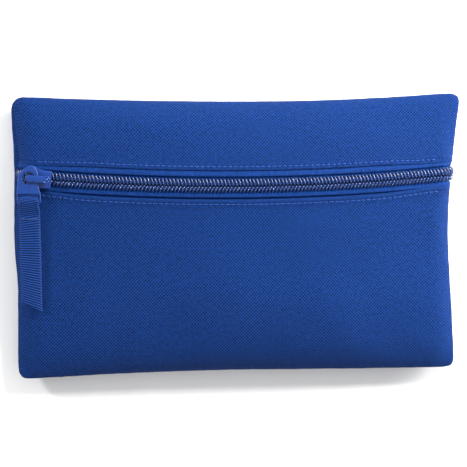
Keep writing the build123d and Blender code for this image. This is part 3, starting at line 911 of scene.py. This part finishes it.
def plate(name, loops, low, high, rounding):
    """A flat plate with rounded edges, from closed outlines; an inner outline is a hole."""
    curve = bpy.data.curves.new(name, "CURVE")
    curve.dimensions = "2D"
    curve.fill_mode = "BOTH"
    curve.extrude = ((high - low) / 2 - rounding) * MM
    curve.bevel_depth = rounding * MM
    curve.bevel_resolution = 3
    curve.offset = -rounding * MM
    for loop in loops:
        spline = curve.splines.new("POLY")
        spline.points.add(len(loop) - 1)
        for point, (x, y) in zip(spline.points, loop):
            point.co = (x * MM, y * MM, 0, 1)
        spline.use_cyclic_u = True
    holder = linked(name + "_outline", curve)
    bpy.context.view_layer.update()
    mesh = bpy.data.meshes.new_from_object(holder.evaluated_get(bpy.context.evaluated_depsgraph_get()))
    bpy.data.objects.remove(holder)
    mesh.name = name
    made = bmesh.new()
    made.from_mesh(mesh)
    bmesh.ops.remove_doubles(made, verts=made.verts, dist=0.002 * MM)
    bmesh.ops.recalc_face_normals(made, faces=made.faces)
    bmesh.ops.translate(made, verts=made.verts, vec=(0, 0, (low + high) / 2 * MM))
    made.to_mesh(mesh)
    made.free()
    mesh.polygons.foreach_set("use_smooth", [abs(face.normal.z) < FLAT for face in mesh.polygons])
    return linked(name, mesh)


def merged(name, parts):
    """One object out of several, with sharp corners kept crisp."""
    made = bmesh.new()
    for part in parts:
        made.from_mesh(part.data)
        bpy.data.objects.remove(part)
    mesh = bpy.data.meshes.new(name)
    made.to_mesh(mesh)
    made.free()
    mesh.set_sharp_from_angle(angle=math.radians(CASTING_RIM_ANGLE))
    return linked(name, mesh)


def through(points, per_span=8):
    """A smooth closed line through a few points."""
    points = np.array(points, float)
    line = []
    for i in range(len(points)):
        p0, p1, p2, p3 = (points[(i + k) % len(points)] for k in (-1, 0, 1, 2))
        square, cube = 2 * p0 - 5 * p1 + 4 * p2 - p3, 3 * p1 - p0 - 3 * p2 + p3
        for s in np.linspace(0, 1, per_span, endpoint=False):
            line.append(0.5 * (2 * p1 + (p2 - p0) * s + square * s**2 + cube * s**3))
    return np.array(line)


def arc(centre, radius, start, end, count):
    turns = np.radians(np.linspace(start, end, count))
    return [(centre[0] + radius * math.cos(a), centre[1] + radius * math.sin(a)) for a in turns]


def blade_loop():
    """A blade's outline: square rear, narrow waist and a wide rounded nose."""
    half = [
        (6.1, 0), (6.1, 2.8), (5.95, 3.95), (5.2, 4.3), (2.6, 4.4), (0.6, 4.8), (-1.2, 5.4),
        (-2.6, 5.9), (-3.7, 5.9), (-4.8, 4.8), (-5.4, 2.5), (-5.45, 0),
    ]
    return through(half + [(x, -y) for x, y in reversed(half[1:-1])], 5)


def flange_loop(side):
    """The strip of a blade's outline outside the coil's channel, on one side of the nose."""
    outline = sorted((x, y) for x, y in blade_loop() if side * y > FLANGE_FROM)
    return outline + [(outline[-1][0], side * CHANNEL), (outline[0][0], side * CHANNEL)]


def post(name, x, half_length, half_width):
    """A post under the crown, pointed along the slider."""
    corners = [(x + half_length, 0), (x, half_width), (x - half_length, 0), (x, -half_width)]
    return plate(name, [through(corners)], BLADE_TOP - 0.3, CAP_UNDER + 0.3, 0.12)


def make_slider_body():
    wedge = [(-4.6, 0), (-3.4, 0.4), (-1.6, 0.3), (-1.2, 0), (-1.6, -0.3), (-3.4, -0.4)]
    parts = [
        plate("blade", [blade_loop()], BLADE_UNDER, BLADE_TOP, CASTING_ROUND),
        plate("back_blade", [blade_loop() * (0.95, 0.7)], BACK_UNDER, BACK_TOP, CASTING_ROUND),
        plate("wedge", [through(wedge)], -2.2, 2.1, 0.1),
        plate("upper_flange", [flange_loop(1)], 1.25, 2.3, 0.15),
        plate("lower_flange", [flange_loop(-1)], 0.45, 2.3, 0.15),
        post("front_post", POST_X, 0.8, 1.15),
        post("rear_post", REAR_POST_X, 0.95, 1.2),
    ]
    return place_mesh(merged("slider_body_cast", parts), SLIDER_MATRIX)


def make_crown():
    """The pressed crown: a low arch between the posts, dished round a crimped pip at its rear."""
    columns, rows = 90, 25
    start, end = POST_X - 1.5, REAR_POST_X + 1.55
    s = np.linspace(0, 1, columns)
    x = start + (end - start) * s
    end_round = np.sqrt(np.clip(1 - (1 - np.clip(np.minimum(s, 1 - s) * 7.5, 0, 1)) ** 2, 0, 1))
    width = (1.62 + 0.28 * smooth(s, 0.68, 0.86)) * (0.1 + 0.9 * end_round)
    rise = 0.30 * np.sin(math.pi * s)
    top, under = np.empty((rows, columns, 3)), np.empty((rows, columns, 3))
    for i, v in enumerate(np.linspace(-1, 1, rows)):
        y = width * v
        reach = np.hypot(x - REAR_POST_X + 0.15, y)
        dish = 0.3 * bump(reach, 0, 0.5) - 0.42 * bump(reach, 0.95, 0.33)
        top[i] = np.stack([x, y, CAP_TOP - 0.05 + rise - 0.30 * np.abs(v) ** 3 + dish], axis=-1)
        under[i] = np.stack([x, y, CAP_UNDER + rise], axis=-1)
    ring = np.concatenate([top, under[::-1]])
    faces = grid_faces(2 * rows, columns, close_rows=True)
    for column in (0, columns - 1):
        faces.append(tuple(i * columns + column for i in range(2 * rows)))
    obj = new_object("slider_crown", ring.reshape(-1, 3), faces)
    face_outwards(obj)
    obj.data.set_sharp_from_angle(angle=math.radians(CROWN_RIM_ANGLE))
    return place_mesh(obj, SLIDER_MATRIX)


def make_pull_tab():
    """The painted tab: an eye that runs into a flat body with a slot for the webbing."""
    w, foot_r = TAB_HALF_WIDTH, 1.1
    right = [(3.6, 4.9), (4.5, 3.2), (4.75, 1.0), (4.6, -2.0), (4.9, -5.0), (w - 0.2, -7.4), (w, -8.8)]
    left = [(-w, -8.8), (-5.9, -6.0), (-5.3, -2.0), (-4.9, 1.6)]
    crest = [(-4.2, 3.1), (-1.4, 5.1), (1.3, 6.3), (2.2, 6.2)]
    foot = arc((w - foot_r, foot_r - TAB_END), foot_r, 0, -90, 6)
    foot += arc((foot_r - w, foot_r - TAB_END), foot_r, -90, -180, 6)
    eye = arc((0, 0.15), EYE_R, 0, 360, 33)[:-1]
    half = WEB_HALF_WIDTH + 0.2
    slot = [(half, -SLOT_NEAR), (half, -SLOT_FAR), (-half, -SLOT_FAR), (-half, -SLOT_NEAR)]
    loops = [right + foot + left + crest, eye, slot]
    return place_mesh(plate("pull_tab_plate", loops, -TAB_THICK / 2, TAB_THICK / 2, 0.34), PULL_MATRIX)


def webbing_line():
    """The middle of the webbing's thickness from its under end, round the tab's bar, to its top end."""
    gap = WEB_PLY / 2 + 0.02
    plies = BAR_Y - 6.5
    end = -WEB_LEFT_END
    under = [(y, -WEB_DROP - gap) for y in np.linspace(end, plies, 60)]
    over = [(y, -WEB_DROP + gap) for y in np.linspace(plies, end, 60)]
    return np.array(under + arc((BAR_Y, 0), LOOP_R, -115, 100, 30) + over)


def make_webbing():
    """Ribbed webbing, folded in half round the tab's bar and cut at a slant."""
    line = webbing_line()
    run = lengths_along(line)
    even = np.arange(0, run[-1], 0.18)
    softened = []
    for k in (0, 1):
        padded = np.pad(np.interp(even, run, line[:, k]), 4, mode="edge")
        softened.append(np.convolve(padded, np.ones(9) / 9, mode="valid"))
    y, z = softened
    tangent = unit(np.stack([np.gradient(y), np.gradient(z)], axis=-1))
    across = np.linspace(-1, 1, 27)
    slant = np.clip(-(y + 20) / (WEB_LEFT_END - 20), 0, 1)[:, None]
    stretch = (WEB_RIGHT_END - WEB_LEFT_END) * slant * (across[None] + 1) / 2
    place = even[:, None] + 0.7 * across[None]
    phase = 2 * math.pi * place / RIB
    rib = np.where(np.abs(across)[None] < 0.74, 0.17 * np.cos(phase), 0.05 * np.cos(2 * phase))
    narrow = 1 - 0.1 * smooth(y, -16.5, -13.0)[:, None]
    x = WEB_HALF_WIDTH * across[None] * narrow + 0.16 * np.sin(even / 17.0)[:, None]
    edge = np.sqrt(np.clip(1 - (np.abs(across) - 0.9).clip(0) ** 2 / 0.012, 0.1, 1))[None]
    sheets = []
    for side in (1, -1):
        thick = side * (WEB_PLY / 2 * edge + rib)
        yy = y[:, None] - tangent[:, 1:] * thick - stretch
        zz = z[:, None] + tangent[:, :1] * thick
        sheets.append(np.stack([x, yy, zz], axis=-1).reshape(-1, 3))
    n, m = len(even), len(across)
    other = n * m
    faces = [face[::-1] for face in grid_faces(n, m)]
    faces += [tuple(k + other for k in face[::-1]) for face in faces]
    for a in (0, (n - 1) * m):
        faces += [(a + j, a + j + 1, other + a + j + 1, other + a + j) for j in range(m - 1)]
    for b in (0, m - 1):
        faces += [(b + i, b + i + m, other + b + i + m, other + b + i) for i in range(0, other - m, m)]
    cloth = np.stack([x, place], axis=-1).reshape(-1, 2)
    obj = new_object("puller_webbing_strap", np.concatenate(sheets), faces, np.concatenate([cloth, cloth]))
    face_outwards(obj)
    return place_mesh(obj, PULL_MATRIX)


def make_bartack():
    """A close zigzag of thread through both plies, just below the loop."""
    turns = np.arange(BARTACK_TURNS + 1)
    fine = np.linspace(0, BARTACK_TURNS, 4 * BARTACK_TURNS + 1)
    xs = np.interp(fine, turns, np.linspace(-3.6, 3.6, len(turns)))
    ys = np.interp(fine, turns, -20.0 + 0.55 * np.where(turns % 2 == 0, 1, -1))
    paths = []
    for side in (1, -1):
        zs = -WEB_DROP + side * (WEB_PLY + 0.1) - side * 0.05 * np.cos(2 * math.pi * fine)
        paths.append(np.stack([xs, ys, zs], axis=-1))
    return place_mesh(joined_tubes("puller_bartack_thread", paths, 0.17, THREAD_SIDES), PULL_MATRIX)


# ---- assembly


def ride_mouth(obj, half):
    """Bakes an upper piece's placement into its mesh."""
    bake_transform(obj)


def make_pouch():
    back = thicken(make_back(150, 100), CLOTH)
    finish_piece(back, CLOTH_BLUE, "pouch_fabric", "back_panel", "root")
    lower = thicken(panel(["front_lower_cloth"], -1, 150, 80)[0], CLOTH)
    finish_piece(lower, CLOTH_BLUE, "pouch_fabric", "front_lower_panel", "root")
    names = [f"front_upper_cloth_{half}" for half in SPANS]
    for half, sheet in zip(SPANS, panel(names, 1, 150, 60)):
        replaced = {"left": "front_upper_panel", "right": "front_upper_panel_ends"}[half]
        upper = finish_piece(thicken(sheet, CLOTH), CLOTH_BLUE, "pouch_fabric", replaced)
        ride_mouth(upper, half)


def make_seams():
    for side, length in (("left", 0.117), ("right", 0.117), ("bottom", 0.2), ("top", 0.2)):
        binding = make_binding(side)
        finish_piece(binding, BINDING_BLUE, "zip_tape", f"seam_binding_{side}", "root")
        finish_piece(make_seam_thread(side), THREAD_BLUE, "thread", f"seam_thread_{side}", "root")


def make_zip():
    pieces = {
        "tape": (make_tape, TAPE_BLUE, "zip_tape"),
        "coil": (make_coil, COIL_BLUE, "nylon_coil"),
        "filler_cord": (make_filler, THREAD_BLUE, "thread"),
        "coil_stitching": (make_coil_stitching, COIL_THREAD, "thread"),
        "topstitching": (make_topstitching, THREAD_BLUE, "thread"),
    }
    for piece, (make, look, slot) in pieces.items():
        cad = "zip_tape" if piece == "tape" else piece
        lower = make(f"lower_{piece}_run", -1, CHAIN_START, CHAIN_END)
        finish_piece(lower, look, slot, f"lower_{cad}", "root")
        for half, span in SPANS.items():
            upper = make(f"upper_{piece}_{half}", 1, *span)
            ends = f"upper_{cad}_ends"
            replaced = ends if half == "right" and ends in frame["nodes"] else f"upper_{cad}"
            finish_piece(upper, look, slot, replaced)
            ride_mouth(upper, half)


def make_slider_and_puller():
    finish_piece(make_slider_body(), PAINT_BLUE, "painted_zinc", "slider_body", "slider")
    finish_piece(make_crown(), PAINT_BLUE, "painted_zinc", "slider_cap", "slider")
    tab = finish_piece(make_pull_tab(), PAINT_BLUE, "painted_zinc", "pull_tab", "pull_tab")
    strap = finish_piece(make_webbing(), WEB_BLUE, "puller_webbing", "puller_webbing", "puller")
    finish_piece(make_bartack(), COIL_THREAD, "thread", "puller_bartack", "puller")


def dress_cad():
    """The look of the one CAD node that stays, the slider's lock spring."""
    for material_slot in frame["nodes"]["slider_lock_spring"].material_slots:
        material_slot.material = STEEL


# ---- scene

LIGHTS = {  # place and diameter in metres, power in watts
    "key": ((0.5, 0.6, 0.62), 0.3, 15.0),
    "side": ((0.55, 0.2, 0.13), 0.25, 6.5),
    "rim": ((-0.7, 0.35, 0.3), 0.12, 5.0),
}
SKY = 0.75
FLOOR_REACH = 900.0


def look_from(location, target):
    """A camera matrix that keeps the pouch's top edge up."""
    back = (location - target).normalized()
    side = Vector((0, 1, 0)).cross(back).normalized()
    return frame_matrix(location, (side, back.cross(side), back))


def make_camera():
    lens, sensor, framed = 180.0, 36.0, 0.2325
    distance = framed * lens / sensor
    target = Vector((-0.0006, 0.0012, 0.014))
    lean_left, lean_up = math.radians(8.5), math.radians(3.5)
    direction = Vector((-math.sin(lean_left), math.sin(lean_up), math.cos(lean_left) * math.cos(lean_up)))
    data = bpy.data.cameras.new("camera")
    data.lens, data.sensor_width = lens, sensor
    camera = linked("camera", data)
    camera.matrix_world = look_from(target + direction.normalized() * distance, target)
    bpy.context.scene.camera = camera


def area_light(name, location, size, power):
    """A round light that faces the pouch."""
    data = bpy.data.lights.new(name, "AREA")
    data.shape, data.size, data.energy = "DISK", size, power
    light = linked(name, data)
    light.location = location
    light.rotation_mode = "QUATERNION"
    light.rotation_quaternion = (-Vector(location)).to_track_quat("-Z", "Y")


def make_studio():
    corners = np.array([(-1, -1, 0), (1, -1, 0), (1, 1, 0), (-1, 1, 0)]) * FLOOR_REACH
    floor = new_object("floor", corners, [(0, 1, 2, 3)])
    made, tree, shader = material("paper", Roughness=0.9, Specular_IOR_Level=0.1)
    grain = speckle(tree, object_place(tree), 60.0, detail=3.0)
    wire(tree, shader, Base_Color=mixed(tree, grain, (0.9, 0.9, 0.9, 1), (0.94, 0.94, 0.94, 1)))
    floor.data.materials.append(made)
    for name, light in LIGHTS.items():
        area_light(name, *light)
    world = bpy.data.worlds.new("studio")
    world.use_nodes = True
    sky = world.node_tree.nodes["Background"]
    sky.inputs[0].default_value = (1.0, 1.0, 1.0, 1)
    sky.inputs[1].default_value = SKY
    bpy.context.scene.world = world
    bpy.context.scene.view_settings.view_transform = "Standard"


make_camera()
make_studio()
dress_cad()
make_pouch()
make_seams()
make_zip()
make_slider_and_puller()
